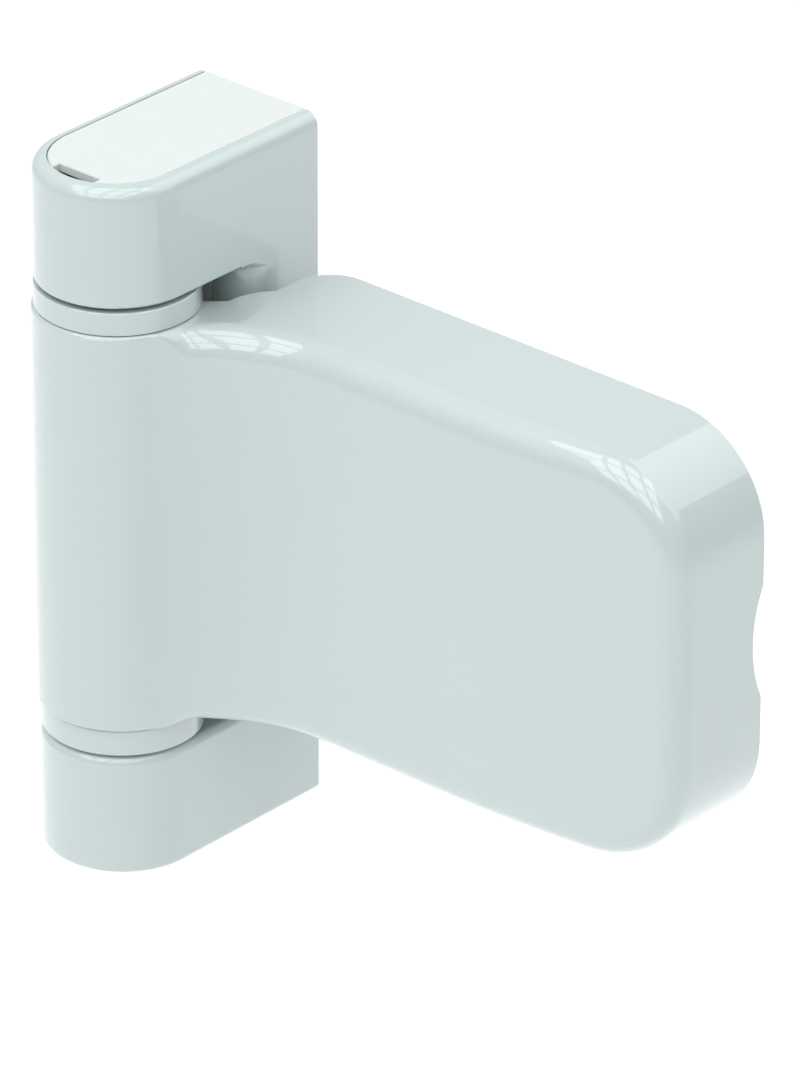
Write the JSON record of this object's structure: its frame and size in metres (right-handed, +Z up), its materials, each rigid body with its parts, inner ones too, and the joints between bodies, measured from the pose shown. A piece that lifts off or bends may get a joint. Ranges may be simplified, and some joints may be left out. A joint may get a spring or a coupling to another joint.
{
  "type": "adjustable flag hinge",
  "caption": "Surface-mounted three-part flag hinge for a plastic-framed door: knuckled frame part, covered sash flag, bearing rings, and height, sideways and compression adjusters.",
  "frame": {"origin": "on the mounting plane, straight behind the hinge pin and level with the middle of the sash barrel", "axes": "+X along the flag, away from the pin; +Y into the wall; +Z up, along the pin"},
  "size_m": [0.1, 0.0382, 0.101],
  "materials": {
    "white_powder_coat": "smooth semi-gloss white powder coat",
    "white_plastic": "glossy moulded white plastic",
    "bearing_plastic": "satin white bearing plastic",
    "dark_bearing_plastic": "satin graphite-filled plastic",
    "zinc_casting": "tumbled die casting",
    "ground_steel": "ground bright steel",
    "plated_steel": "clear zinc-plated steel",
    "spring_steel": "blackened spring steel",
    "black_rubber": "matt black rubber",
    "grey_foam": "closed-cell grey foam"
  },
  "bodies": {
    "frame": {"frame_bracket": "white_powder_coat", "top_cap_plate": "white_plastic", "bottom_cap_plate": "white_plastic", "web_cover_strip": "white_plastic", "frame_seal": "grey_foam", "upper_circlip": "spring_steel", "lower_circlip": "spring_steel"},
    "bushes": {"upper_eccentric_bush": "zinc_casting", "lower_eccentric_bush": "zinc_casting"},
    "pin": {"hinge_pin": "ground_steel"},
    "height_screw": {"height_screw": "plated_steel"},
    "rings": {"upper_bearing_ring": "bearing_plastic", "lower_bearing_ring": "bearing_plastic"},
    "sash": {"sash_arm": "white_powder_coat", "sash_cover": "white_plastic", "cover_grommets": "black_rubber", "barrel_liner": "dark_bearing_plastic"},
    "lateral_screw": {"lateral_screw": "plated_steel", "screw_clip": "spring_steel"},
    "base": {"base_plate": "zinc_casting", "clamp_screws": "plated_steel", "clamp_washers": "plated_steel", "spring_washers": "spring_steel", "door_seal": "black_rubber"}
  },
  "joints": [
    {"name": "compression_turn", "type": "hinge", "parent": "frame", "child": "bushes", "pos_m": [-0.0005, -0.0268, 0], "axis": [0, 0, 1], "range_deg": [-90, 90]},
    {"name": "height_lift", "type": "slide", "parent": "bushes", "child": "pin", "axis": [0, 0, 1], "range_m": [-0.0003, 0.0003]},
    {"name": "height_screw_turn", "type": "hinge", "parent": "pin", "child": "height_screw", "pos_m": [0, -0.0268, 0], "axis": [0, 0, 1], "range_deg": [-110, 110]},
    {"name": "ring_counter_turn", "type": "hinge", "parent": "pin", "child": "rings", "pos_m": [0, -0.0268, 0], "axis": [0, 0, 1], "range_deg": [-90.5, 90.5]},
    {"name": "door_swing", "type": "hinge", "parent": "rings", "child": "sash", "pos_m": [0, -0.0268, 0], "axis": [0, 0, 1], "range_deg": [-180, 0]},
    {"name": "lateral_shift", "type": "slide", "parent": "sash", "child": "base", "axis": [1, 0, 0], "range_m": [-0.003, 0.003]},
    {"name": "lateral_screw_turn", "type": "hinge", "parent": "sash", "child": "lateral_screw", "pos_m": [0.07, -0.0126, 0], "axis": [1, 0, 0], "range_deg": [-1352, 1352]}
  ],
  "couplings": [
    {"joint": "ring_counter_turn", "follows": "compression_turn", "ratio": -1},
    {"joint": "height_screw_turn", "follows": "height_lift", "rad_per_m": 6283.2},
    {"joint": "lateral_screw_turn", "follows": "lateral_shift", "rad_per_m": -7854}
  ]
}
